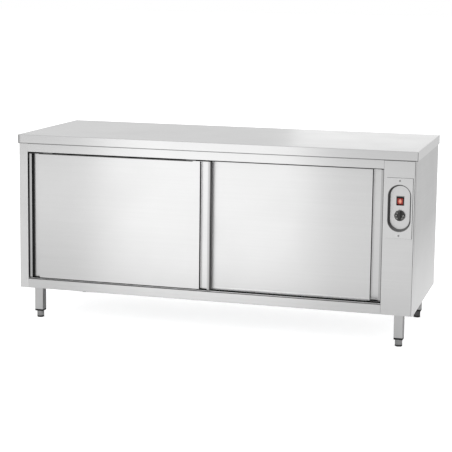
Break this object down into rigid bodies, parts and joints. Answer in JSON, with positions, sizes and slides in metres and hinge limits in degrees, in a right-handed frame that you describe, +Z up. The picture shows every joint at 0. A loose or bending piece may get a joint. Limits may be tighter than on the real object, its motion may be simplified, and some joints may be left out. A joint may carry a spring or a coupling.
{
  "type": "hot cupboard",
  "caption": "Free-standing heated stainless-steel cupboard on square legs, with hanging sliding doors, a flat worktop and a recessed thermostat and switch panel beside the doors.",
  "frame": {"origin": "on the floor, under the middle of the worktop", "axes": "+X to the right along the front, +Y from the front to the back, +Z up"},
  "size_m": [1.8, 0.7, 0.85],
  "materials": {
    "satin_steel": "satin, fine brushed grain",
    "leg_steel": "satin, brushed along the tube",
    "foot_steel": "turned, with a black base",
    "plain_steel": "mill finish",
    "screw_steel": "bright",
    "mineral_wool": "fibrous board",
    "black_plastic": "moulded",
    "knob_black": "moulded, pale scale marks",
    "lit_red": "translucent, lit from inside",
    "copper": "drawn tube",
    "motor_paint": "painted case",
    "cast_aluminium": "as cast",
    "element_steel": "heat-darkened",
    "ivory_plastic": "moulded",
    "nylon": "moulded"
  },
  "bodies": {
    "cabinet": {"worktop": "satin_steel", "left_side_panel": "satin_steel", "right_side_panel": "satin_steel", "back_panel": "satin_steel", "door_header": "satin_steel", "door_sill": "satin_steel", "control_column": "satin_steel", "control_plate": "satin_steel", "service_cover": "satin_steel", "leg_front_left": "leg_steel", "leg_front_right": "leg_steel", "leg_rear_left": "leg_steel", "leg_rear_right": "leg_steel", "worktop_stiffeners": "plain_steel", "base_panel": "plain_steel", "chamber_left_liner": "plain_steel", "chamber_back_liner": "plain_steel", "chamber_ceiling": "plain_steel", "chamber_floor": "plain_steel", "heater_partition": "plain_steel", "shelf": "plain_steel", "shelf_angles": "plain_steel", "front_door_track": "plain_steel", "rear_door_track": "plain_steel", "floor_guide": "plain_steel", "fan_housing": "plain_steel", "insulation_boards": "mineral_wool", "panel_screws": "screw_steel", "switch_housing": "black_plastic", "thermostat_body": "plain_steel", "thermostat_capillary": "copper", "fan_motor": "motor_paint", "heating_element": "element_steel", "terminal_block": "ivory_plastic", "cable_gland": "black_plastic", "gland_locknut": "black_plastic", "leg_inserts": "black_plastic"},
    "left_door": {"left_door_front": "satin_steel", "left_door_back": "satin_steel", "left_door_core": "mineral_wool", "left_door_guide": "black_plastic", "left_door_hangers": "plain_steel"},
    "right_door": {"right_door_front": "satin_steel", "right_door_back": "satin_steel", "right_door_core": "mineral_wool", "right_door_guide": "black_plastic", "right_door_hangers": "plain_steel"},
    "left_door_roller_left": {"left_door_roller_left": "nylon"},
    "left_door_roller_right": {"left_door_roller_right": "nylon"},
    "right_door_roller_left": {"right_door_roller_left": "nylon"},
    "right_door_roller_right": {"right_door_roller_right": "nylon"},
    "foot_front_left": {"foot_front_left": "foot_steel"},
    "foot_front_right": {"foot_front_right": "foot_steel"},
    "foot_rear_left": {"foot_rear_left": "foot_steel"},
    "foot_rear_right": {"foot_rear_right": "foot_steel"},
    "knob": {"thermostat_knob": "knob_black", "thermostat_spindle": "screw_steel"},
    "rocker": {"switch_rocker": "lit_red"},
    "fan_rotor": {"fan_impeller": "cast_aluminium", "fan_shaft": "screw_steel"}
  },
  "joints": [
    {"name": "left_door_slide", "type": "slide", "parent": "cabinet", "child": "left_door", "axis": [1, 0, 0], "range_m": [0, 0.75]},
    {"name": "right_door_slide", "type": "slide", "parent": "cabinet", "child": "right_door", "axis": [1, 0, 0], "range_m": [-0.75, 0]},
    {"name": "left_door_roller_left_spin", "type": "hinge", "parent": "left_door", "child": "left_door_roller_left", "pos_m": [-0.761, -0.329, 0.7938], "axis": [0, 1, 0], "continuous": true},
    {"name": "left_door_roller_right_spin", "type": "hinge", "parent": "left_door", "child": "left_door_roller_right", "pos_m": [-0.0885, -0.329, 0.7938], "axis": [0, 1, 0], "continuous": true},
    {"name": "right_door_roller_left_spin", "type": "hinge", "parent": "right_door", "child": "right_door_roller_left", "pos_m": [-0.0085, -0.299, 0.7938], "axis": [0, 1, 0], "continuous": true},
    {"name": "right_door_roller_right_spin", "type": "hinge", "parent": "right_door", "child": "right_door_roller_right", "pos_m": [0.664, -0.299, 0.7938], "axis": [0, 1, 0], "continuous": true},
    {"name": "knob_turn", "type": "hinge", "parent": "cabinet", "child": "knob", "pos_m": [0.826, -0.3225, 0.575], "axis": [0, 1, 0], "range_deg": [0, 270]},
    {"name": "rocker_press", "type": "hinge", "parent": "cabinet", "child": "rocker", "pos_m": [0.826, -0.321, 0.636], "axis": [-1, 0, 0], "range_deg": [0, 20]},
    {"name": "fan_spin", "type": "hinge", "parent": "cabinet", "child": "fan_rotor", "pos_m": [0.759, 0.02, 0.652], "axis": [1, 0, 0], "continuous": true},
    {"name": "foot_front_left_screw", "type": "slide", "parent": "cabinet", "child": "foot_front_left", "axis": [0, 0, -1], "range_m": [0, 0.02]},
    {"name": "foot_front_right_screw", "type": "slide", "parent": "cabinet", "child": "foot_front_right", "axis": [0, 0, -1], "range_m": [0, 0.02]},
    {"name": "foot_rear_left_screw", "type": "slide", "parent": "cabinet", "child": "foot_rear_left", "axis": [0, 0, -1], "range_m": [0, 0.02]},
    {"name": "foot_rear_right_screw", "type": "slide", "parent": "cabinet", "child": "foot_rear_right", "axis": [0, 0, -1], "range_m": [0, 0.02]}
  ],
  "couplings": [
    {"joint": "left_door_roller_left_spin", "follows": "left_door_slide", "rad_per_m": 100},
    {"joint": "left_door_roller_right_spin", "follows": "left_door_slide", "rad_per_m": 100},
    {"joint": "right_door_roller_left_spin", "follows": "right_door_slide", "rad_per_m": 100},
    {"joint": "right_door_roller_right_spin", "follows": "right_door_slide", "rad_per_m": 100}
  ]
}
